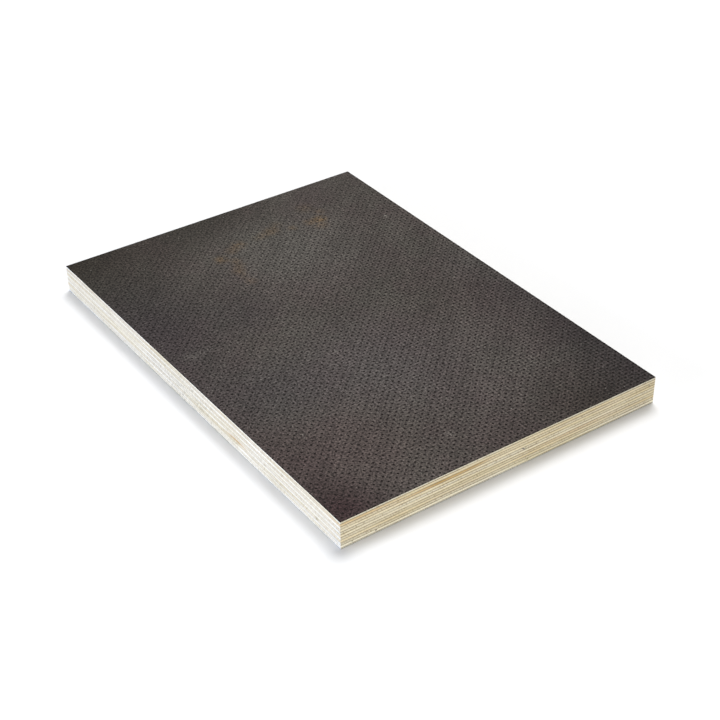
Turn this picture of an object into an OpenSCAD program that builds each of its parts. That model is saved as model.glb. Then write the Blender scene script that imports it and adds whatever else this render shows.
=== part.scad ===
// Film-faced plywood sheet, cut to size and lying flat.
// The origin is the middle of the underside. X runs across the sheet, Y along it and Z up.

/* [Sheet] */
// Length of the sheet, along the grain of its outer veneers
sheet_length = 297; // [100:1:2500]
// Width of the sheet, across the grain of its outer veneers
sheet_width = 210; // [100:1:1250]

/* [Veneers] */
// Number of veneers: an odd number, so that both outer ones run the same way
veneer_count = 11; // [3:2:25]
// Thickness of each veneer inside the stack
inner_veneer = 1.7; // [1:0.05:3.5]
// Thickness of the two outer veneers, which are sanded before the films go on
outer_veneer = 0.85; // [0.4:0.05:3.5]

/* [Films] */
// Thickness of the embossed film on the upper face
top_film = 0.3; // [0.1:0.05:1]
// Thickness of the smooth film on the underside
bottom_film = 0.15; // [0.1:0.05:1]

/* [Hidden] */
film_brown = "#463c38";
long_grain_tan = "#e6d3b4";
cross_grain_tan = "#cfae82";

// Veneers are counted from the top. The odd ones have their grain along the sheet.
function runs_long(number) = number % 2 == 1;
function is_outer(number) = number == 1 || number == veneer_count;
function veneer_thickness(number) = is_outer(number) ? outer_veneer : inner_veneer;
function veneer_bottom(number) =
    number == veneer_count ? bottom_film : veneer_bottom(number + 1) + veneer_thickness(number + 1);
function two_digits(number) = str(number < 10 ? "0" : "", number);
function veneer_name(number) = str("ply_", two_digits(number), runs_long(number) ? "_long" : "_cross");

veneers = [1 : veneer_count];
veneers_top = veneer_bottom(1) + veneer_thickness(1);

// One layer of the stack: it covers the whole sheet, and the next one lies on it face to face.
module layer(bottom, thickness) {
    translate([-sheet_width / 2, -sheet_length / 2, bottom])
        cube([sheet_width, sheet_length, thickness]);
}

// Embossed film on the upper face
module film_top() {
    color(film_brown)
        layer(veneers_top, top_film);
}

// One veneer, named by its place in the stack
module veneer(number) {
    color(runs_long(number) ? long_grain_tan : cross_grain_tan)
        layer(veneer_bottom(number), veneer_thickness(number));
}

// Smooth film on the underside
module film_bottom() {
    color(film_brown)
        layer(0, bottom_film);
}

film_top();
for (number = veneers)
    veneer(number);
film_bottom();
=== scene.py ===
"""Looks of a film-faced plywood sheet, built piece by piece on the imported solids.

The sheet lies flat: an embossed dark brown film on top, eleven crossed veneers, and a smooth film below.
Lengths are in metres, as in the frame, and MM turns millimetres into them. Only the marks and the core gaps
are given in millimetres.
"""

import logging
import math
from dataclasses import dataclass
from enum import Enum
from typing import Any, Iterable

import bmesh
import bpy
from bmesh.types import BMesh, BMFace, BMVert
from bpy.types import Material, Node, NodeSocket, Object
from mathutils import Euler, Matrix, Vector, noise

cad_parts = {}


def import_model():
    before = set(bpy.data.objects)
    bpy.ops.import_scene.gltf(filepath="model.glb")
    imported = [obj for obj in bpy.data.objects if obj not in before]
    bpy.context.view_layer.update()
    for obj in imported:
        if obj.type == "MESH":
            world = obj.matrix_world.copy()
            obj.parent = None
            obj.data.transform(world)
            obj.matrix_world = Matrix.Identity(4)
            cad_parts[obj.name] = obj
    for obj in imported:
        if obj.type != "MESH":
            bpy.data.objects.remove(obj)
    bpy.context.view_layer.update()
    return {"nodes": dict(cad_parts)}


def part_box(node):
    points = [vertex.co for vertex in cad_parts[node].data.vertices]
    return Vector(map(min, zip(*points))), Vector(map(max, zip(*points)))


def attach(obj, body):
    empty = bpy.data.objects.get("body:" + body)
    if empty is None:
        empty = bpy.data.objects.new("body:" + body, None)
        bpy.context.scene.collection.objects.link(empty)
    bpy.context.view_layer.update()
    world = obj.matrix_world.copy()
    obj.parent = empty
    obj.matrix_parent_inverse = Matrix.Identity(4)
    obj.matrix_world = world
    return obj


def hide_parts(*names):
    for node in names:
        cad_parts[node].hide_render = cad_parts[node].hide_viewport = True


MM = 0.001
ROOT_BODY = "root"

# Socket numbers of the Mix node when it mixes colours.
MIX_FACTOR = 0
MIX_LOW = 6
MIX_HIGH = 7
MIX_RESULT = 2

# Part of a noise's range that is stretched to the whole of it.
Span = tuple[float, float]

log = logging.getLogger("plywood_sheet")


class Grain(Enum):
    """Direction of a veneer's grain, as a frame axis number."""

    CROSS = 0
    LONG = 1


class Side(Enum):
    """A sawn side of the sheet that has marks of its own, as the frame axis that runs along it."""

    FRONT_END = 0
    LEFT_EDGE = 1


def linear(hex_colour: str) -> tuple[float, float, float, float]:
    """Turns an sRGB colour into the linear values that the shaders take.

    Args:
        hex_colour: Colour such as "#463c38".

    Returns:
        Red, green, blue and an alpha of 1.
    """
    parts = [int(hex_colour[i:i + 2], 16) / 255 for i in (1, 3, 5)]
    red, green, blue = (c / 12.92 if c <= 0.04045 else ((c + 0.055) / 1.055) ** 2.4 for c in parts)
    return red, green, blue, 1.0


@dataclass
class Shading:
    """The nodes of a finish, which work from the place on the surface.

    Attributes:
        name: Name of the finish.
    """

    name: str

    def __post_init__(self) -> None:
        """Starts the material."""
        self.material = bpy.data.materials.new(self.name)
        self.material.use_nodes = True
        self.tree = self.material.node_tree
        self.shader = self.tree.nodes["Principled BSDF"]
        self.coordinates = self.add("TexCoord")
        self.place = self.coordinates.outputs["Object"]

    def add(self, kind: str, inputs: dict | None = None, **settings: Any) -> Node:
        """Adds a node, with its settings and its links.

        Args:
            kind: Name of the node's type after "ShaderNode", such as "TexNoise".
            inputs: What goes into it, as for feed.
            settings: Attributes of the node.

        Returns:
            The new node.
        """
        node = self.tree.nodes.new("ShaderNode" + kind)
        for name, value in settings.items():
            setattr(node, name, value)
        self.feed(node, inputs or {})
        return node

    def feed(self, node: Node, inputs: dict) -> None:
        """Gives a node its values and its links.

        Args:
            node: The node.
            inputs: Input name or number, with its value, the socket that feeds it, or a node whose first
                output does.
        """
        for key, value in inputs.items():
            if isinstance(value, Node):
                value = value.outputs[0]
            if isinstance(value, NodeSocket):
                self.tree.links.new(value, node.inputs[key])
            else:
                node.inputs[key].default_value = value


@dataclass(frozen=True)
class Mark:
    """A local change of colour, as a soft ellipsoid about a place in the frame.

    Attributes:
        centre: Middle of the mark.
        reach: Half sizes along X, Y and Z.
        strength: How much of the mark's colour shows in its middle, from 0 to 1.
        colour: The mark's colour.
    """

    centre: tuple[float, float, float]
    reach: tuple[float, float, float]
    strength: float
    colour: str

    def paint(self, nodes: Shading, under: NodeSocket, ragged: Node | float = 1.0) -> NodeSocket:
        """Adds the nodes that paint the mark over a colour.

        Args:
            nodes: Nodes of the finish.
            under: Socket with the colour that the mark lies on.
            ragged: How much of the mark is let through, from 0 to 1.

        Returns:
            Socket with the painted colour.
        """
        offset = nodes.add("VectorMath", {0: nodes.place, 1: self.centre}, operation="SUBTRACT")
        shares = nodes.add("VectorMath", {0: offset, 1: self.reach}, operation="DIVIDE")
        distance = nodes.add("VectorMath", {0: shares}, operation="LENGTH").outputs["Value"]
        fade = nodes.add(
            "MapRange", {"Value": distance, "From Min": 1.0, "From Max": 0.0, "To Max": self.strength},
            interpolation_type="SMOOTHSTEP",
        )
        share = nodes.add("Math", {0: fade, 1: ragged}, operation="MULTIPLY")
        painted = nodes.add(
            "Mix", {MIX_FACTOR: share, MIX_LOW: under, MIX_HIGH: linear(self.colour)}, data_type="RGBA"
        )
        return painted.outputs[MIX_RESULT]


@dataclass(frozen=True)
class EmbossedFilmFinish:
    """Phenolic film pressed with a wire cloth: satin and dark brown, with painted shade that turns the pits
    nearly black where the wires dug in, and painted sheen on the lands.

    Its levels are depths, as shares of a deep pit's.
    """

    brown: str = "#43403b"
    red_brown: str = "#433b39"
    pit_shade_black: str = "#140d0b"
    dust_grey: str = "#8b877f"
    blotch_size: float = 55 * MM
    blotch_span: Span = (0.35, 0.65)
    # Paper fibres are finer than this: they are drawn as coarse as they need to show.
    fibre_size: float = 1.1 * MM
    fibre_span: Span = (0.34, 0.66)
    fibre_low: float = 0.2
    fibre_high: float = 2.25
    # Above 1, few fibres are pale and many dark.
    fibre_skew: float = 1.6
    # Faint streaks from wiping, slanting over the sheet.
    wipe_length: float = 60 * MM
    wipe_width: float = 11 * MM
    wipe_lean: float = 45.0
    wipe_span: Span = (0.25, 0.75)
    wipe_low: float = 0.87
    wipe_high: float = 1.13
    # Painted sheen and shade by height: the lands between the wires are painted paler, and the grooves that
    # the wires left darker.
    land_level: float = 0.1
    land_shade: float = 1.35
    groove_level: float = 0.5
    groove_shade: float = 0.3
    # Painted shade: the pits are painted black from the first level to the second.
    pit_shade_levels: tuple[float, float] = (0.3, 0.6)
    stain_grain: float = 2.5 * MM
    stain_span: Span = (0.25, 0.55)
    dust_spacing: float = 4.5 * MM
    dust_radius: float = 0.55 * MM
    roughness_low: float = 0.5
    roughness_high: float = 0.7
    ior: float = 1.5
    # The pressed paper is duller than clean resin.
    specular_level: float = 0.07
    fibre_bump: float = 0.6
    fibre_relief: float = 0.04 * MM

    def material(
        self, top: float, pit_depth: float, sheen_shade_and_stain_clouds: Iterable[Mark], stains: Iterable[Mark]
    ) -> Material:
        """Makes the finish.

        Args:
            top: Height of the film's lands.
            pit_depth: Depth of the imprint's deep pits.
            sheen_shade_and_stain_clouds: Broad places where the brown is darker, paler or redder.
            stains: Places with a ragged stain.

        Returns:
            The material.
        """
        nodes = Shading("phenolic_film_embossed")
        blotches = nodes.add(
            "TexNoise",
            {"Vector": nodes.place, "Scale": 1 / self.blotch_size, "Detail": 7.0, "Roughness": 0.75},
        )
        low, high = self.blotch_span
        redness = nodes.add("MapRange", {"Value": blotches, "From Min": low, "From Max": high})
        fibres = nodes.add(
            "TexNoise",
            {"Vector": nodes.place, "Scale": 1 / self.fibre_size, "Detail": 4.0, "Roughness": 0.8},
        )
        browns = nodes.add(
            "Mix",
            {MIX_FACTOR: redness, MIX_LOW: linear(self.brown), MIX_HIGH: linear(self.red_brown)},
            data_type="RGBA",
        )
        colour = browns.outputs[MIX_RESULT]
        # Painted sheen and shade, laid over the brown as broad clouds.
        for cloud in sheen_shade_and_stain_clouds:
            colour = cloud.paint(nodes, colour)
        colour = self._stained(nodes, colour, stains)
        low, high = self.fibre_span
        strewn = nodes.add("MapRange", {"Value": fibres, "From Min": low, "From Max": high})
        skewed = nodes.add("Math", {0: strewn, 1: self.fibre_skew}, operation="POWER")
        mottle = nodes.add(
            "MapRange", {"Value": skewed, "To Min": self.fibre_low, "To Max": self.fibre_high}
        )
        height = nodes.add("SeparateXYZ", {"Vector": nodes.place}).outputs["Z"]
        # Painted sheen on the lands and painted shade in the grooves, by height.
        painted_relief_shade = nodes.add(
            "MapRange",
            {"Value": height,
             "From Min": top - self.groove_level * pit_depth, "From Max": top - self.land_level * pit_depth,
             "To Min": self.groove_shade, "To Max": self.land_shade},
        )
        shade = nodes.add("Math", {0: mottle, 1: painted_relief_shade}, operation="MULTIPLY")
        wiped = nodes.add("Math", {0: shade, 1: self._wipes(nodes)}, operation="MULTIPLY")
        shaded = nodes.add("VectorMath", {0: colour, "Scale": wiped}, operation="SCALE")
        dusted = self._dusted(nodes, shaded)
        # Painted shade: the pits turn nearly black with depth.
        first, last = (top - level * pit_depth for level in self.pit_shade_levels)
        painted_pit_shade = nodes.add("MapRange", {"Value": height, "From Min": first, "From Max": last})
        pit_shaded = nodes.add(
            "Mix", {MIX_FACTOR: painted_pit_shade, MIX_LOW: dusted, MIX_HIGH: linear(self.pit_shade_black)}, data_type="RGBA"
        )
        gloss = nodes.add(
            "MapRange", {"Value": fibres, "To Min": self.roughness_low, "To Max": self.roughness_high}
        )
        bump = nodes.add(
            "Bump", {"Height": fibres, "Strength": self.fibre_bump, "Distance": self.fibre_relief}
        )
        nodes.feed(nodes.shader, {
            "Base Color": pit_shaded.outputs[MIX_RESULT], "Roughness": gloss, "Normal": bump,
            "IOR": self.ior, "Specular IOR Level": self.specular_level,
        })
        return nodes.material

    def _wipes(self, nodes: Shading) -> Node:
        """Adds the streaks that wiping has left.

        Args:
            nodes: Nodes of the finish.

        Returns:
            Node with the shade that the streaks give.
        """
        drawn_out = nodes.add(
            "Mapping",
            {"Vector": nodes.place, "Rotation": (0.0, 0.0, math.radians(self.wipe_lean)),
             "Scale": (self.wipe_length, self.wipe_width, self.wipe_width)},
            vector_type="TEXTURE",
        )
        streaks = nodes.add("TexNoise", {"Vector": drawn_out, "Scale": 1.0, "Detail": 2.0})
        low, high = self.wipe_span
        return nodes.add(
            "MapRange",
            {"Value": streaks, "From Min": low, "From Max": high,
             "To Min": self.wipe_low, "To Max": self.wipe_high},
        )

    def _stained(self, nodes: Shading, colour: NodeSocket, stains: Iterable[Mark]) -> NodeSocket:
        """Adds the stains, broken up by a fine noise.

        Args:
            nodes: Nodes of the finish.
            colour: Socket with the film's colour.
            stains: Places where the film is stained.

        Returns:
            Socket with the stained colour.
        """
        broken = nodes.add(
            "TexNoise", {"Vector": nodes.place, "Scale": 1 / self.stain_grain, "Detail": 4.0}
        )
        low, high = self.stain_span
        ragged = nodes.add(
            "MapRange", {"Value": broken, "From Min": low, "From Max": high},
            interpolation_type="SMOOTHSTEP",
        )
        for stain in stains:
            colour = stain.paint(nodes, colour, ragged)
        return colour

    def _dusted(self, nodes: Shading, colour: Node) -> NodeSocket:
        """Adds scattered pale specks of dust.

        Args:
            nodes: Nodes of the finish.
            colour: Node with the film's colour.

        Returns:
            Socket with the dusted colour.
        """
        cells = nodes.add("TexVoronoi", {"Vector": nodes.place, "Scale": 1 / self.dust_spacing})
        edge = self.dust_radius / self.dust_spacing
        speck = nodes.add("MapRange", {"Value": cells, "From Min": edge, "From Max": 0.0})
        chance = nodes.add("SeparateXYZ", {"Vector": cells.outputs["Color"]}).outputs["X"]
        share = nodes.add("Math", {0: speck, 1: chance}, operation="MULTIPLY")
        mixed = nodes.add(
            "Mix", {MIX_FACTOR: share, MIX_LOW: colour, MIX_HIGH: linear(self.dust_grey)}, data_type="RGBA"
        )
        return mixed.outputs[MIX_RESULT]


@dataclass(frozen=True)
class SmoothFilmFinish:
    """Phenolic film pressed smooth.

    It is the same dark brown, a little glossier.
    """

    brown: str = "#443c39"
    red_brown: str = "#3a2f2d"
    blotch_size: float = 60 * MM
    scuff_length: float = 40 * MM
    scuff_width: float = 0.8 * MM
    scuff_span: Span = (0.3, 0.7)
    scuff_bump: float = 0.15
    scuff_relief: float = 0.05 * MM
    roughness_low: float = 0.3
    roughness_high: float = 0.5
    ior: float = 1.57

    def material(self) -> Material:
        """Makes the finish."""
        nodes = Shading("phenolic_film_smooth")
        blotches = nodes.add(
            "TexNoise", {"Vector": nodes.place, "Scale": 1 / self.blotch_size, "Detail": 4.0}
        )
        scale = (1 / self.scuff_width, 1 / self.scuff_length, 1 / self.scuff_width)
        stretched = nodes.add("Mapping", {"Vector": nodes.place, "Scale": scale})
        scuffs = nodes.add("TexNoise", {"Vector": stretched, "Scale": 1.0, "Detail": 2.0})
        browns = nodes.add(
            "Mix",
            {MIX_FACTOR: blotches, MIX_LOW: linear(self.brown), MIX_HIGH: linear(self.red_brown)},
            data_type="RGBA",
        )
        low, high = self.scuff_span
        gloss = nodes.add(
            "MapRange",
            {"Value": scuffs, "From Min": low, "From Max": high,
             "To Min": self.roughness_low, "To Max": self.roughness_high},
        )
        bump = nodes.add(
            "Bump", {"Height": scuffs, "Strength": self.scuff_bump, "Distance": self.scuff_relief}
        )
        nodes.feed(nodes.shader, {
            "Base Color": browns.outputs[MIX_RESULT], "Roughness": gloss, "Normal": bump, "IOR": self.ior,
        })
        return nodes.material


@dataclass(frozen=True)
class VeneerFinish:
    """Rotary-cut birch, raw from the saw.

    It is pale and streaked along its growth rings, browner and duller on its cut ends, and the resin that
    holds the stack shows as thin broken brown lines. The sheet's ends carry a painted warm shade, and the
    glue lines are painted fainter on the long edges, as brighter light would wash them out.
    """

    name: str
    end_tint: str
    pale: str = "#f4f2ed"
    tan: str = "#d5cfbc"
    grey: str = "#cdcac1"
    # Painted warm shade: the sheet's ends are tinted yellower, as the dimmer light on them would make them.
    sheet_end_shade_tint: str = "#f2ebd5"
    glue_brown: str = "#624827"
    check_brown: str = "#9b8b69"
    # Growth rings and fibres are finer than this: they are drawn as coarse as they need to show.
    ring_length: float = 28 * MM
    ring_width: float = 0.45 * MM
    layer_length: float = 55 * MM
    layer_width: float = 1.7 * MM
    layer_weight: float = 1.5
    # How far to both sides of its middle the noise turns from pale to tan.
    tan_spread: float = 0.18
    grey_span: Span = (0.6, 0.35)
    grey_strength: float = 0.7
    check_length: float = 2.2 * MM
    check_width: float = 0.7 * MM
    check_lean: float = 35.0
    check_span: Span = (0.52, 0.68)
    check_strength: float = 0.75
    # Side grain has short fibres instead of checks, which show less.
    check_on_sides: float = 0.5
    saw_spacing: float = 1.0 * MM
    saw_lean: float = 0.7
    saw_span: Span = (0.3, 0.7)
    saw_low: float = 0.94
    saw_high: float = 1.06
    glue_width: float = 0.38 * MM
    glue_break: float = 18 * MM
    glue_span: Span = (0.35, 0.55)
    glue_least: float = 0.55
    # Painted light: the glue lines show less on the long edges than on the ends, as brighter light would
    # wash them out.
    glue_on_edges: float = 0.3
    bump: float = 0.5
    relief: float = 0.06 * MM
    roughness: float = 0.75
    ior: float = 1.53

    def material(
        self, grain: Grain, half_ply: float, marks: Iterable[Mark], torn: Iterable[Mark]
    ) -> Material:
        """Makes the finish.

        Args:
            grain: Direction of the veneer's grain.
            half_ply: Half the thickness of an inner veneer.
            marks: Places with heartwood, a knot or a stain.
            torn: Places where the saw has torn the fibres.

        Returns:
            The material.
        """
        nodes = Shading(self.name)
        facing = nodes.add("SeparateXYZ", {"Vector": nodes.coordinates.outputs["Normal"]})
        end_on = nodes.add("Math", {0: facing.outputs[grain.value]}, operation="ABSOLUTE")
        sheet_end = nodes.add("Math", {0: facing.outputs["Y"]}, operation="ABSOLUTE")
        rings = self._bands(nodes, self.ring_length, self.ring_width, 3.0)
        colour = self._wood(nodes, rings)
        # The end grain's own tint, then the painted warm shade on the sheet's ends.
        for share, tint in ((end_on, self.end_tint), (sheet_end, self.sheet_end_shade_tint)):
            tinted = nodes.add(
                "Mix", {MIX_FACTOR: share, MIX_LOW: colour, MIX_HIGH: linear(tint)},
                data_type="RGBA", blend_type="MULTIPLY",
            )
            colour = tinted.outputs[MIX_RESULT]
        checks = self._checks(nodes, grain)
        shown = nodes.add("MapRange", {"Value": end_on, "To Min": self.check_on_sides})
        share = nodes.add("Math", {0: checks, 1: shown}, operation="MULTIPLY")
        checked = nodes.add(
            "Mix", {MIX_FACTOR: share, MIX_LOW: colour, MIX_HIGH: linear(self.check_brown)}, data_type="RGBA"
        )
        colour = checked.outputs[MIX_RESULT]
        for place_torn in torn:
            colour = place_torn.paint(nodes, colour, checks)
        for mark in marks:
            colour = mark.paint(nodes, colour)
        colour = self._glued(nodes, colour, half_ply, sheet_end)
        saw = self._saw_marks(nodes)
        low, high = self.saw_span
        sawn_shade = nodes.add(
            "MapRange",
            {"Value": saw, "From Min": low, "From Max": high,
             "To Min": self.saw_low, "To Max": self.saw_high},
        )
        tone = nodes.add("Attribute", attribute_name="tone").outputs["Vector"]
        toned = nodes.add("VectorMath", {0: colour, 1: tone}, operation="MULTIPLY")
        sawn = nodes.add("VectorMath", {0: toned, "Scale": sawn_shade}, operation="SCALE")
        rough = nodes.add("Math", {0: rings, 1: saw}, operation="ADD")
        bump = nodes.add("Bump", {"Height": rough, "Strength": self.bump, "Distance": self.relief})
        nodes.feed(nodes.shader, {
            "Base Color": sawn, "Normal": bump, "Roughness": self.roughness, "IOR": self.ior,
        })
        return nodes.material

    @staticmethod
    def _bands(nodes: Shading, length: float, width: float, detail: float) -> Node:
        """Adds a noise that is drawn out in the plane of the sheet, as growth rings in peeled veneer are.

        Args:
            nodes: Nodes of the finish.
            length: Size of a band along and across the sheet.
            width: Size of a band through the sheet.
            detail: The noise's detail.

        Returns:
            Node with the noise.
        """
        scale = (1 / length, 1 / length, 1 / width)
        drawn_out = nodes.add("Mapping", {"Vector": nodes.place, "Scale": scale})
        return nodes.add(
            "TexNoise", {"Vector": drawn_out, "Scale": 1.0, "Detail": detail, "Roughness": 0.6}
        )

    def _wood(self, nodes: Shading, rings: Node) -> NodeSocket:
        """Adds the wood's own colours: pale and tan by its rings, with some layers greyer than others.

        Args:
            nodes: Nodes of the finish.
            rings: Node with the noise of the growth rings.

        Returns:
            Socket with the colour.
        """
        layers = self._bands(nodes, self.layer_length, self.layer_width, 1.0)
        both = nodes.add("Math", {0: layers, 1: self.layer_weight, 2: rings}, operation="MULTIPLY_ADD")
        middle = (1 + self.layer_weight) / 2
        share = nodes.add(
            "MapRange",
            {"Value": both, "From Min": middle - self.tan_spread, "From Max": middle + self.tan_spread},
        )
        warm = nodes.add(
            "Mix", {MIX_FACTOR: share, MIX_LOW: linear(self.pale), MIX_HIGH: linear(self.tan)},
            data_type="RGBA",
        )
        low, high = self.grey_span
        greyness = nodes.add(
            "MapRange", {"Value": layers, "From Min": low, "From Max": high, "To Max": self.grey_strength}
        )
        wood = nodes.add(
            "Mix", {MIX_FACTOR: greyness, MIX_LOW: warm.outputs[MIX_RESULT], MIX_HIGH: linear(self.grey)},
            data_type="RGBA",
        )
        return wood.outputs[MIX_RESULT]

    def _checks(self, nodes: Shading, grain: Grain) -> Node:
        """Adds the lathe checks: the fine slanting cracks that peeling leaves, which show most on cut ends.

        Args:
            nodes: Nodes of the finish.
            grain: Direction of the veneer's grain.

        Returns:
            Node with how far the wood is checked.
        """
        turn = [0.0, 0.0, 0.0]
        turn[grain.value] = math.radians(self.check_lean)
        leaning = nodes.add("Mapping", {"Vector": nodes.place, "Rotation": turn})
        scale = (1 / self.check_width, 1 / self.check_width, 1 / self.check_length)
        drawn_out = nodes.add("Mapping", {"Vector": leaning, "Scale": scale})
        cracks = nodes.add("TexNoise", {"Vector": drawn_out, "Scale": 1.0, "Detail": 2.0})
        low, high = self.check_span
        return nodes.add(
            "MapRange", {"Value": cracks, "From Min": low, "From Max": high, "To Max": self.check_strength}
        )

    def _glued(self, nodes: Shading, colour: NodeSocket, half_ply: float, sheet_end: Node) -> NodeSocket:
        """Adds the glue lines, broken along their length.

        Args:
            nodes: Nodes of the finish.
            colour: Socket with the wood's colour.
            half_ply: Half the thickness of an inner veneer.
            sheet_end: Node with how far the surface is an end of the sheet.

        Returns:
            Socket with the colour.
        """
        level = nodes.add("Attribute", attribute_name="from_glue").outputs["Fac"]
        distance = nodes.add("Math", {0: level, 1: half_ply}, operation="PINGPONG")
        near = nodes.add("MapRange", {"Value": distance, "From Min": self.glue_width, "From Max": 0.0})
        thickness = self._bands(nodes, self.glue_break, half_ply, 2.0)
        low, high = self.glue_span
        amount = nodes.add(
            "MapRange", {"Value": thickness, "From Min": low, "From Max": high, "To Min": self.glue_least}
        )
        # Painted light: glue lines fainter on the brighter long edges.
        glue_by_side_light = nodes.add("MapRange", {"Value": sheet_end, "To Min": self.glue_on_edges})
        line = nodes.add("Math", {0: near, 1: amount}, operation="MULTIPLY")
        share = nodes.add("Math", {0: line, 1: glue_by_side_light}, operation="MULTIPLY")
        glued = nodes.add(
            "Mix", {MIX_FACTOR: share, MIX_LOW: colour, MIX_HIGH: linear(self.glue_brown)}, data_type="RGBA"
        )
        return glued.outputs[MIX_RESULT]

    def _saw_marks(self, nodes: Shading) -> Node:
        """Adds the marks of the saw's teeth: uneven lines that lean a little, on every sawn side.

        Args:
            nodes: Nodes of the finish.

        Returns:
            Node with the noise of the marks.
        """
        slant = (1.0, 1.0, self.saw_lean)
        along = nodes.add("VectorMath", {0: nodes.place, 1: slant}, operation="DOT_PRODUCT")
        return nodes.add(
            "TexNoise", {"W": along.outputs["Value"], "Scale": 1 / self.saw_spacing, "Detail": 2.0},
            noise_dimensions="1D",
        )


def add_piece(name: str, bm: BMesh, material: Material, node: str) -> Object:
    """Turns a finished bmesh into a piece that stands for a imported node.

    Args:
        name: Name of the piece.
        bm: Its shape, which is freed.
        material: Its finish.
        node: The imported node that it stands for.

    Returns:
        The piece.
    """
    mesh = bpy.data.meshes.new(name)
    bm.to_mesh(mesh)
    bm.free()
    mesh.materials.append(material)
    piece = bpy.data.objects.new(name, mesh)
    bpy.context.scene.collection.objects.link(piece)
    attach(piece, ROOT_BODY)
    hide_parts(node)
    mesh.calc_loop_triangles()
    log.info("%s: %d triangles, %s", name, len(mesh.loop_triangles), material.name)
    return piece


@dataclass(frozen=True)
class FilmMark:
    """A mark on the film, round and soft, measured in millimetres.

    Attributes:
        x: Place of its middle, across the sheet.
        y: Place of its middle, along the sheet.
        radius: Half its size.
        strength: How much of its colour shows, from 0 to 1.
        colour: Its colour.
    """

    x: float
    y: float
    radius: float
    strength: float
    colour: str

    def on(self, top: float) -> Mark:
        """Gives the mark in the frame, on a film whose lands are at a height."""
        return Mark((self.x * MM, self.y * MM, top), (self.radius * MM,) * 3, self.strength, self.colour)


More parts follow.
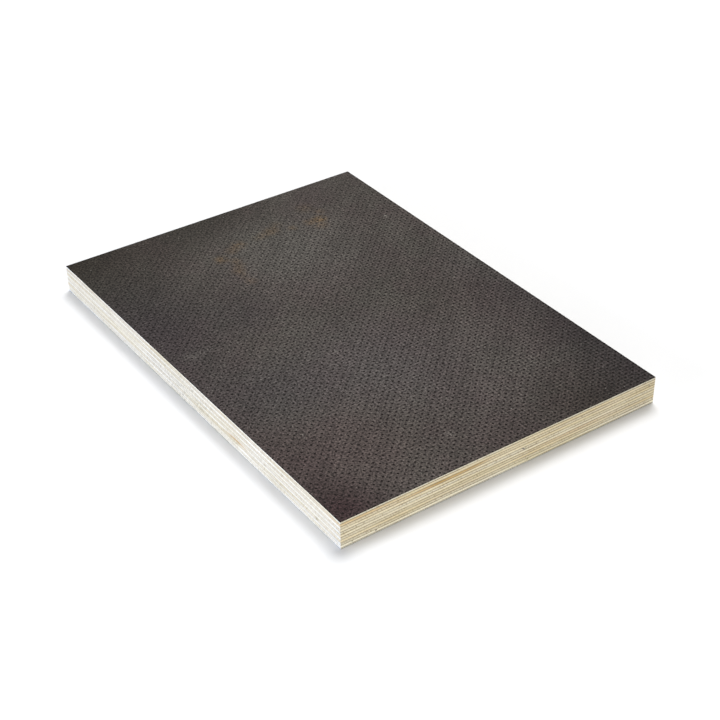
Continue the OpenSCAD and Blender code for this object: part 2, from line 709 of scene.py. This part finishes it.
@dataclass
class EmbossedFilm:
    """The film on the upper face, with the imprint of a woven wire cloth pressed into it.

    Every second crossing of the wires leaves a deep round pit, and the crossings between leave shallow ones.
    """

    node: str = "film_top"
    pitch_x: float = 2.52 * MM
    pitch_y: float = 2.39 * MM
    pit_rim: float = 0.85 * MM
    pit_floor: float = 0.52 * MM
    pit_depth: float = 0.24 * MM
    knuckle_depth: float = 0.1 * MM
    rim_drop: float = 0.02 * MM
    weld: float = 0.01 * MM
    sway: float = 0.16 * MM
    sway_length: float = 22 * MM
    # The noise behind the sway starts from a seed, so that each run gives the same film.
    sway_seed: int = 1
    # Each pit is pressed to a depth of its own, up to the full one.
    # They are deeper towards the right, and worn towards the back.
    press_mean: float = 0.77
    press_tilt: float = 2.4
    press_wear: float = 0.65
    press_spread: float = 0.32
    press_length: float = 3.5 * MM
    # Faces that look up more than this are shaded smooth, so the sawn sides stay flat.
    smooth_above: float = 0.5
    ochre: str = "#5d4a31"
    # Painted sheen and shade, with a dried puddle's pale patch: darker towards the corners and redder
    # towards the front left, where the sheen falls off, and paler in the middle, where the sheen lies and
    # the puddle dried.
    sheen_shade_and_stain_clouds: tuple[FilmMark, ...] = (
        FilmMark(-100, 155, 100, 0.9, "#24201a"),
        FilmMark(-12, 170, 92, 0.9, "#292621"),
        FilmMark(95, 165, 80, 0.4, "#2f2d29"),
        FilmMark(-100, 85, 80, 0.5, "#2b2a27"),
        FilmMark(-100, 48, 70, 0.55, "#2b2629"),
        FilmMark(-42, 38, 35, 0.35, "#333031"),
        FilmMark(18, 80, 68, 0.6, "#504e49"),
        FilmMark(-12, -48, 75, 0.45, "#4b4646"),
        FilmMark(-70, -38, 50, 0.35, "#3b3639"),
        FilmMark(50, -65, 55, 0.35, "#4a4642"),
        FilmMark(22, -95, 30, 0.25, "#514a47"),
        FilmMark(52, -12, 45, 0.25, "#3b3932"),
        FilmMark(105, 8, 40, 0.55, "#403f3b"),
        FilmMark(-58, -108, 65, 0.5, "#463b38"),
        FilmMark(-115, -15, 65, 0.45, "#302a2c"),
        FilmMark(-115, -95, 60, 0.55, "#372829"),
        FilmMark(-100, -142, 40, 0.8, "#28181a"),
        FilmMark(0, -162, 60, 0.45, "#322725"),
        FilmMark(62, -152, 55, 0.7, "#27231d"),
        FilmMark(112, -90, 50, 0.7, "#1f1b1d"),
        FilmMark(112, -135, 60, 0.7, "#1f1b1d"),
        FilmMark(112, -40, 45, 0.45, "#272326"),
    )

    def build(self) -> None:
        """Makes the piece: the imprint, cut to the sheet's outline and closed down to the veneers."""
        low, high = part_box(self.node)
        bm = bmesh.new()
        self._add_pit(bm)
        bmesh.ops.translate(bm, verts=bm.verts, vec=(low.x, low.y, high.z))
        self._repeat(bm, Vector((self.pitch_x, self.pitch_y, 0)), 2)
        across = math.ceil((high.x - low.x) / (2 * self.pitch_x)) + 1
        along = math.ceil((high.y - low.y) / (2 * self.pitch_y)) + 1
        self._repeat(bm, Vector((2 * self.pitch_x, 0, 0)), across)
        self._repeat(bm, Vector((0, 2 * self.pitch_y, 0)), along)
        bmesh.ops.remove_doubles(bm, verts=bm.verts, dist=self.weld)
        self._loosen(bm, high.z, high.y)
        self._cut_to_outline(bm, low, high)
        self._close(bm, low.z)
        sheen_shade_and_stain_clouds = [cloud.on(high.z) for cloud in self.sheen_shade_and_stain_clouds]
        stains = [stain.on(high.z) for stain in self._stains()]
        finish = EmbossedFilmFinish().material(high.z, self.pit_depth, sheen_shade_and_stain_clouds, stains)
        piece = add_piece("film_top_embossed", bm, finish, self.node)
        for face in piece.data.polygons:
            face.use_smooth = face.normal.z > self.smooth_above

    def _add_pit(self, bm: BMesh) -> None:
        """Makes one deep pit and the land round it, out to the four shallow crossings beside it.

        Args:
            bm: Empty bmesh that gets the shape, with the pit's middle at the origin.
        """
        border = bmesh.ops.create_circle(bm, segments=4, radius=1.0)["verts"]
        bmesh.ops.scale(bm, verts=border, vec=(self.pitch_x, self.pitch_y, 1))
        bmesh.ops.translate(bm, verts=border, vec=(0, 0, -self.knuckle_depth))
        split = bmesh.ops.subdivide_edges(bm, edges=bm.edges[:], cuts=1)
        lands = [v for v in split["geom_inner"] if isinstance(v, BMVert)]
        bmesh.ops.translate(bm, verts=lands, vec=(0, 0, self.knuckle_depth))
        border_edges = bm.edges[:]
        rim = bmesh.ops.create_circle(bm, segments=8, radius=self.pit_rim)["verts"]
        bmesh.ops.translate(bm, verts=rim, vec=(0, 0, -self.rim_drop))
        rim_edges = [e for e in bm.edges if e not in border_edges]
        floor = bmesh.ops.create_circle(bm, segments=4, radius=self.pit_floor, cap_ends=True)["verts"]
        bmesh.ops.translate(bm, verts=floor, vec=(0, 0, -self.pit_depth))
        floor_edges = [e for e in bm.edges if e not in border_edges and e not in rim_edges]
        bmesh.ops.bridge_loops(bm, edges=border_edges + rim_edges)
        bmesh.ops.bridge_loops(bm, edges=rim_edges + floor_edges)
        bmesh.ops.triangulate(bm, faces=bm.faces[:])
        bmesh.ops.recalc_face_normals(bm, faces=bm.faces[:])

    @staticmethod
    def _repeat(bm: BMesh, step: Vector, count: int) -> None:
        """Repeats all that a bmesh holds along a line.

        Args:
            bm: The bmesh.
            step: From one copy to the next.
            count: How many there are in the end.
        """
        first = bm.verts[:] + bm.edges[:] + bm.faces[:]
        for number in range(1, count):
            copy = bmesh.ops.duplicate(bm, geom=first)["geom"]
            verts = [v for v in copy if isinstance(v, BMVert)]
            bmesh.ops.translate(bm, verts=verts, vec=step * number)

    def _loosen(self, bm: BMesh, top: float, back: float) -> None:
        """Lets the wires sway and press unevenly, as a real cloth does.

        Args:
            bm: The imprint.
            top: Height of its lands.
            back: Where the film's back end is.
        """
        noise.seed_set(self.sway_seed)
        for vert in bm.verts:
            sway = noise.noise_vector(vert.co / self.sway_length) * self.sway
            worn = max(0.0, vert.co.y / back) ** 2
            press = self.press_mean + self.press_tilt * vert.co.x * (1 - worn)
            press += self.press_spread * noise.noise(vert.co / self.press_length)
            share = min(1.0, press * (1 - self.press_wear * worn))
            vert.co = (vert.co.x + sway.x, vert.co.y + sway.y, top + share * (vert.co.z - top))

    @staticmethod
    def _cut_to_outline(bm: BMesh, low: Vector, high: Vector) -> None:
        """Saws the imprint off at the sheet's four sides.

        Args:
            bm: The imprint.
            low: Lowest corner of the film.
            high: Highest corner of the film.
        """
        for corner, outward in (
            (low, (-1, 0, 0)), (low, (0, -1, 0)), (high, (1, 0, 0)), (high, (0, 1, 0)),
        ):
            everything = bm.verts[:] + bm.edges[:] + bm.faces[:]
            bmesh.ops.bisect_plane(bm, geom=everything, plane_co=corner, plane_no=outward, clear_outer=True)

    @staticmethod
    def _close(bm: BMesh, bottom: float) -> None:
        """Gives the film its sawn sides and its flat back.

        Args:
            bm: The imprint.
            bottom: Height of the film's back.
        """
        rim = [e for e in bm.edges if e.is_boundary]
        walls = bmesh.ops.extrude_edge_only(bm, edges=rim)["geom"]
        for vert in (v for v in walls if isinstance(v, BMVert)):
            vert.co.z = bottom
        bmesh.ops.edgeloop_fill(bm, edges=[e for e in bm.edges if e.is_boundary])
        bmesh.ops.recalc_face_normals(bm, faces=bm.faces[:])

    def _stains(self) -> list[FilmMark]:
        """Gives the ochre rim of the dried puddle towards the back, and the pale scuffs."""
        rim = (
            (-22, 67, 6, 0.25), (-22.5, 74, 5, 0.2), (-22, 81, 7, 0.35), (-19, 87, 6.5, 0.3),
            (-17.5, 93, 5.5, 0.3), (-24, 99, 7, 0.5), (-13, 104.5, 7, 0.3), (-6, 108, 7.5, 0.4),
            (8, 108, 6, 0.15), (13, 109, 6.5, 0.25), (20, 110.5, 8, 0.4), (26, 115, 6.5, 0.2),
            (33, 106, 5, 0.35), (46, 106, 6.5, 0.4), (53.5, 105.5, 7, 0.75), (50, 99, 8, 0.3),
            (59, 114, 5.5, 0.25), (53, 123, 9, 0.2),
        )
        scuffs = (
            (-93, 18, 6.5, 0.1), (-86, 18, 6, 0.08), (-79, 18.5, 6, 0.07), (-66, 26, 5, 0.08),
            (90, 84, 2, 0.6), (-18, -123, 4, 0.12), (-23, -25, 2.5, 0.2),
        )
        pale = EmbossedFilmFinish.dust_grey
        return [
            FilmMark(*place, colour)
            for places, colour in ((rim, self.ochre), (scuffs, pale))
            for place in places
        ]


@dataclass(frozen=True)
class EdgeMark:
    """A mark in one veneer, on a sawn side of the sheet, measured in millimetres.

    Attributes:
        side: The side that shows it.
        veneer: Number of the veneer, counted from the top.
        along: Place of its middle along the side.
        length: Half its length along the side.
        height: Half its height.
        rise: How far its middle lies above the veneer's.
        strength: How much of its colour shows, from 0 to 1.
        colour: Its colour.
        torn: Whether the saw has torn the fibres, so that the colour shows in flecks.
    """

    side: Side
    veneer: int
    along: float
    length: float
    height: float
    rise: float
    strength: float
    colour: str
    torn: bool = False

    def on(self, low: Vector, high: Vector) -> Mark:
        """Gives the mark in the frame.

        Args:
            low: Lowest corner of the veneer.
            high: Highest corner of the veneer.

        Returns:
            The mark.
        """
        centre = [low.x, low.y, (low.z + high.z) / 2 + self.rise * MM]
        centre[self.side.value] = self.along * MM
        length = self.length * MM
        return Mark(tuple(centre), (length, length, self.height * MM), self.strength, self.colour)


@dataclass(frozen=True)
class CoreGap:
    """An open joint between two strips of a veneer, which shows on the front end, measured in millimetres.

    Attributes:
        veneer: Number of the veneer, counted from the top.
        along: Place of its middle, across the sheet.
        width: How far it is open.
        lean: How far its foot stands to the right of its head.
        depth: How deep it reaches into the sheet.
        reach: How far from its middle the front end is cut up for it.
        facing: How much of a face's normal points forward on the front end, from 0 to 1.
    """

    veneer: int
    along: float
    width: float
    lean: float
    depth: float
    reach: float = 6
    facing: float = 0.9

    def cut(self, bm: BMesh, low: Vector, high: Vector, margin: float) -> None:
        """Cuts the gap into a veneer that still is a plain block.

        Args:
            bm: The veneer.
            low: Its lowest corner.
            high: Its highest corner.
            margin: How far the gap stays from the glue lines.
        """
        middle = Vector((self.along * MM, low.y, (low.z + high.z) / 2))
        across = Vector((high.z - low.z, 0, self.lean * MM)).normalized()
        half = across * (self.width * MM) / 2
        upper = Vector((0, 0, high.z - margin))
        lower = Vector((0, 0, low.z + margin))
        up = Vector((0, 0, 1))
        for point, normal in ((middle + half, across), (middle - half, across), (upper, up), (lower, up)):
            wall = self._wall(bm)
            edges = list({e for f in wall for e in f.edges})
            verts = list({v for f in wall for v in f.verts})
            bmesh.ops.bisect_plane(bm, geom=verts + edges + wall, plane_co=point, plane_no=normal)
        mouth = min(self._wall(bm), key=lambda f: (f.calc_center_median() - middle).length)
        inner = bmesh.ops.extrude_face_region(bm, geom=[mouth, *mouth.edges])["geom"]
        verts = [v for v in inner if isinstance(v, BMVert)]
        bmesh.ops.translate(bm, verts=verts, vec=(0, self.depth * MM, 0))

    def _wall(self, bm: BMesh) -> list[BMFace]:
        """Gives the faces of a veneer's front end round the gap."""
        front = [f for f in bm.faces if f.normal.y < -self.facing]
        return [f for f in front if abs(f.calc_center_median().x - self.along * MM) < self.reach * MM]


@dataclass(frozen=True)
class VeneerTone:
    """How the wood of one veneer differs from the rest: partly its own tone, since veneers come from
    different logs, and partly painted light.

    Attributes:
        edge_shade: How light it is on the sheet's long edges, next to 1 for the finish as it is.
        edge_warmth: How much yellower it is there.
        end_shade: How light it is on the sheet's ends.
        end_warmth: How much yellower it is there.
    """

    edge_shade: float
    edge_warmth: float
    end_shade: float
    end_warmth: float

    def factors(self, at_end: bool) -> Vector:
        """Gives what the finish's red, green and blue are multiplied with, on an end or elsewhere."""
        shade, warmth = (self.end_shade, self.end_warmth) if at_end else (self.edge_shade, self.edge_warmth)
        return Vector((1 + warmth / 2, 1.0, 1 - warmth)) * shade


@dataclass
class VeneerStack:
    """The eleven veneers, each turned a quarter from the next, with glue lines that wave a little."""

    count: int = 11
    grid_step: float = 10 * MM
    wave: float = 0.14 * MM
    wave_length: float = 38 * MM
    # How much further on the noise is read for each glue line, so that no two wave alike.
    wave_step: float = 7.3
    # At the front end the glue lines lie a little lower than elsewhere.
    end_sag: float = 0.32 * MM
    end_sag_length: float = 25 * MM
    gap_margin: float = 0.1 * MM
    cross_finish: VeneerFinish = VeneerFinish("birch_veneer_cross", end_tint="#efe9e0")
    long_finish: VeneerFinish = VeneerFinish("birch_veneer_long", end_tint="#fbf7f1")
    # One for each veneer, from the top. The two lowest are painted lighter, standing in for light from the
    # floor, and the top one is painted lighter on the long edges, a painted highlight beside the film.
    tones_and_painted_light: tuple[VeneerTone, ...] = (
        VeneerTone(1.16, 0.01, 1.08, -0.12),
        VeneerTone(1.02, 0.01, 0.96, 0.085),
        VeneerTone(1.03, 0.01, 0.98, -0.01),
        VeneerTone(1.06, 0.0, 1.07, 0.045),
        VeneerTone(1.04, 0.005, 1.07, -0.08),
        VeneerTone(1.12, -0.03, 1.13, 0.015),
        VeneerTone(1.07, 0.015, 1.04, -0.045),
        VeneerTone(1.11, 0.0, 1.07, 0.075),
        VeneerTone(1.06, 0.015, 1.07, -0.055),
        VeneerTone(1.31, -0.05, 1.37, -0.08),
        VeneerTone(1.23, -0.02, 1.18, -0.16),
    )
    gaps: tuple[CoreGap, ...] = (
        CoreGap(5, 11.5, 0.55, 2.2, 3),
        CoreGap(3, 100.8, 0.8, 0.0, 2),
    )
    marks: tuple[EdgeMark, ...] = (
        EdgeMark(Side.FRONT_END, 3, -41, 44, 1.8, -0.1, 1.0, "#be9d62"),
        EdgeMark(Side.FRONT_END, 3, -43, 10, 1.2, 0.0, 0.7, "#a4874d"),
        EdgeMark(Side.FRONT_END, 3, -23, 16, 1.2, 0.1, 0.8, "#a1834a"),
        EdgeMark(Side.FRONT_END, 2, -92, 30, 1.8, 0.3, 0.5, "#cfa873"),
        EdgeMark(Side.FRONT_END, 7, 45, 50, 2.0, 0.0, 0.4, "#c6a47c"),
        EdgeMark(Side.FRONT_END, 5, 17.5, 5.5, 0.3, -0.9, 0.9, "#5a4426"),
        EdgeMark(Side.FRONT_END, 4, 85, 60, 0.7, 0.45, 0.35, "#75582f"),
        EdgeMark(Side.FRONT_END, 6, 85, 60, 0.7, 0.45, 0.35, "#75582f"),
        EdgeMark(Side.FRONT_END, 8, 70, 75, 0.7, 0.45, 0.4, "#75582f"),
        EdgeMark(Side.FRONT_END, 10, 85, 60, 0.7, 0.45, 0.35, "#75582f"),
        EdgeMark(Side.FRONT_END, 10, -83.6, 1.0, 0.8, 0.0, 1.0, "#503820"),
        EdgeMark(Side.FRONT_END, 10, -98.0, 0.9, 0.7, 0.1, 0.8, "#6d6238"),
        EdgeMark(Side.FRONT_END, 10, 14.5, 1.0, 0.7, 0.1, 0.8, "#5f5a30"),
        EdgeMark(Side.LEFT_EDGE, 7, -51, 16, 1.4, -0.45, 1.0, "#b28f52"),
        EdgeMark(Side.LEFT_EDGE, 9, -58, 10, 4.0, 0.0, 0.6, "#f9f8f4"),
        EdgeMark(Side.LEFT_EDGE, 8, -127.5, 2.0, 1.4, 0.0, 0.7, "#70663f"),
        EdgeMark(Side.LEFT_EDGE, 8, -13.5, 4, 0.8, 0.0, 0.7, "#8f8468"),
        EdgeMark(Side.LEFT_EDGE, 4, -25, 2, 0.8, 0.0, 0.6, "#8f8468"),
        EdgeMark(Side.LEFT_EDGE, 6, 4, 55, 13, 0.0, 0.9, "#81837e", torn=True),
        EdgeMark(Side.LEFT_EDGE, 7, 4, 55, 13, 0.0, 0.9, "#81837e", torn=True),
    )

    def build(self) -> None:
        """Makes a piece for each veneer."""
        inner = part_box(self._node(2))
        half_ply = (inner[1].z - inner[0].z) / 2
        materials = {}
        for grain, finish in ((Grain.CROSS, self.cross_finish), (Grain.LONG, self.long_finish)):
            marks = self._marks_of(grain, torn=False)
            materials[grain] = finish.material(grain, half_ply, marks, self._marks_of(grain, torn=True))
        for number in range(1, self.count + 1):
            self._build_veneer(number, half_ply, materials[self._grain(number)])

    @staticmethod
    def _grain(number: int) -> Grain:
        """Gives a veneer's grain: the odd ones run along the sheet."""
        return Grain.LONG if number % 2 else Grain.CROSS

    def _node(self, number: int) -> str:
        """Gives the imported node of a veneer, counted from the top."""
        return f"ply_{number:02d}_{self._grain(number).name.lower()}"

    def _marks_of(self, grain: Grain, torn: bool) -> list[Mark]:
        """Gives the marks in the veneers that run one way, either the torn places or the others."""
        return [
            mark.on(*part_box(self._node(mark.veneer)))
            for mark in self.marks
            if self._grain(mark.veneer) is grain and mark.torn is torn
        ]

    def _build_veneer(self, number: int, half_ply: float, material: Material) -> None:
        """Makes one veneer.

        Args:
            number: Its place, counted from the top.
            half_ply: Half the thickness of an inner veneer.
            material: Its finish.
        """
        node = self._node(number)
        low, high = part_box(node)
        bm = bmesh.new()
        bmesh.ops.create_cube(bm, size=1.0)
        bmesh.ops.scale(bm, verts=bm.verts, vec=high - low)
        bmesh.ops.translate(bm, verts=bm.verts, vec=(low + high) / 2)
        for axis in (0, 1):
            runs = [e for e in bm.edges if abs(e.verts[0].co[axis] - e.verts[1].co[axis]) > self.grid_step]
            cuts = round((high[axis] - low[axis]) / self.grid_step) - 1
            bmesh.ops.subdivide_edges(bm, edges=runs, cuts=cuts, use_grid_fill=True)
        for gap in self.gaps:
            if gap.veneer == number:
                gap.cut(bm, low, high, self.gap_margin)
        self._wave_lines(bm, number, low.z, high.z, half_ply)
        grain = self._grain(number).name.lower()
        add_piece(f"veneer_{number:02d}_{grain}", bm, material, node)

    def _wave_lines(self, bm: BMesh, number: int, bottom: float, top: float, half_ply: float) -> None:
        """Lets a veneer's glue lines wave, and notes each vertex's tone and its height over the line below.

        Args:
            bm: The veneer.
            number: Its place, counted from the top.
            bottom: Height of its lower face.
            top: Height of its upper face.
            half_ply: Half the thickness of an inner veneer, past which no glue line is near.
        """
        bm.verts.layers.float.new("from_glue")
        bm.verts.layers.float_vector.new("tone")
        from_glue = bm.verts.layers.float["from_glue"]
        tone = bm.verts.layers.float_vector["tone"]
        front = min(vert.co.y for vert in bm.verts)
        back = max(vert.co.y for vert in bm.verts)
        for vert in bm.verts:
            share = (vert.co.z - bottom) / (top - bottom)
            below = self._line_wave(number, vert.co, front)
            above = self._line_wave(number - 1, vert.co, front)
            vert.co.z += below + share * (above - below)
            vert[from_glue] = share * (top - bottom) if number < self.count else half_ply * (1 - share)
            # The tone carries painted light as well as the wood's own tone.
            vert[tone] = self.tones_and_painted_light[number - 1].factors(at_end=vert.co.y in (front, back))

    def _line_wave(self, line: int, spot: Vector, front: float) -> float:
        """Gives how far a glue line lies above its plane, which is 0 for the outer faces of the stack.

        Args:
            line: The glue line, counted from the top.
            spot: Place on the sheet.
            front: Where the sheet's front end is.

        Returns:
            The height.
        """
        if line in (0, self.count):
            return 0.0
        shift = Vector((0, 0, self.wave_step * line))
        ripple = noise.noise(Vector((spot.x, spot.y, 0)) / self.wave_length + shift)
        near_end = max(0.0, 1 - (spot.y - front) / self.end_sag_length)
        return self.wave * ripple - self.end_sag * near_end


@dataclass
class SmoothFilm:
    """The film on the underside, which stays as packed."""

    node: str = "film_bottom"

    def dress(self, nodes: dict[str, Object]) -> None:
        """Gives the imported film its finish.

        Args:
            nodes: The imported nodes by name.
        """
        mesh = nodes[self.node].data
        mesh.materials.clear()
        mesh.materials.append(SmoothFilmFinish().material())
        log.info("%s: %d triangles, %s", self.node, len(mesh.polygons), mesh.materials[0].name)


@dataclass(frozen=True)
class Softbox:
    """A square area light that looks at the sheet.

    Attributes:
        name: Its name.
        place: Where it stands.
        size: Its side.
        power: In watts.
        tint: Its colour.
    """

    name: str
    place: tuple[float, float, float]
    size: float
    power: float
    tint: str

    def build(self) -> None:
        """Adds the light."""
        light = bpy.data.lights.new(self.name, "AREA")
        light.size = self.size
        light.energy = self.power
        light.color = linear(self.tint)[:3]
        lamp = bpy.data.objects.new(self.name, light)
        lamp.location = self.place
        lamp.rotation_euler = (-Vector(self.place)).to_track_quat("-Z", "Y").to_euler()
        bpy.context.scene.collection.objects.link(lamp)


@dataclass
class Studio:
    """Pale floor, soft light, and the camera at the photograph's angle.

    The yaw turns the camera from +Y towards +X, the pitch tips it down, and the roll turns the picture.
    """

    floor_white: str = "#ececec"
    floor_side: float = 60.0
    floor_roughness: float = 0.9
    floor_specular: float = 0.1
    sky_white: str = "#ffffff"
    sky_strength: float = 0.22
    softboxes: tuple[Softbox, ...] = (
        Softbox("key_left", (-1.0, 0.0, 0.16), 0.6, 8.7, "#e2ecff"),
        Softbox("overhead", (0.75, 0.68, 2.2), 1.4, 60.0, "#ffffff"),
        Softbox("fill_front", (-0.34, -1.0, 0.17), 0.7, 6.65, "#ffffff"),
    )
    camera_place: tuple[float, float, float] = (-434.70 * MM, -643.47 * MM, 523.15 * MM)
    camera_yaw: float = 34.685
    camera_pitch: float = 34.575
    camera_roll: float = 0.647
    lens: float = 79.713
    sensor_width: float = 36.0

    def build(self) -> None:
        """Makes the floor, the lights and the camera."""
        self._floor()
        self._sky()
        for softbox in self.softboxes:
            softbox.build()
        self._camera()
        bpy.context.scene.view_settings.view_transform = "Standard"

    def _floor(self) -> None:
        """Adds a plain pale floor under the sheet."""
        bm = bmesh.new()
        bmesh.ops.create_grid(bm, x_segments=1, y_segments=1, size=self.floor_side / 2)
        mesh = bpy.data.meshes.new("floor")
        bm.to_mesh(mesh)
        bm.free()
        paper = bpy.data.materials.new("floor_paper")
        paper.use_nodes = True
        shader = paper.node_tree.nodes["Principled BSDF"]
        shader.inputs["Base Color"].default_value = linear(self.floor_white)
        shader.inputs["Roughness"].default_value = self.floor_roughness
        shader.inputs["Specular IOR Level"].default_value = self.floor_specular
        mesh.materials.append(paper)
        floor = bpy.data.objects.new("floor", mesh)
        bpy.context.scene.collection.objects.link(floor)

    def _sky(self) -> None:
        """Lights the scene evenly from all round."""
        world = bpy.data.worlds.new("studio")
        world.use_nodes = True
        background = world.node_tree.nodes["Background"]
        background.inputs["Color"].default_value = linear(self.sky_white)
        background.inputs["Strength"].default_value = self.sky_strength
        bpy.context.scene.world = world

    def _camera(self) -> None:
        """Adds the camera."""
        data = bpy.data.cameras.new("camera")
        data.lens = self.lens
        data.sensor_width = self.sensor_width
        camera = bpy.data.objects.new("camera", data)
        camera.location = self.camera_place
        turn = Euler((math.radians(90 - self.camera_pitch), 0, math.radians(-self.camera_yaw))).to_matrix()
        roll = Matrix.Rotation(math.radians(-self.camera_roll), 3, "Z")
        camera.rotation_euler = (turn @ roll).to_euler()
        bpy.context.scene.collection.objects.link(camera)
        bpy.context.scene.camera = camera


def main() -> None:
    """Builds the sheet and its studio."""
    logging.basicConfig(level=logging.INFO, format="%(message)s")
    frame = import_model()
    Studio().build()
    EmbossedFilm().build()
    VeneerStack().build()
    SmoothFilm().dress(frame["nodes"])


if __name__ == "__main__":
    main()
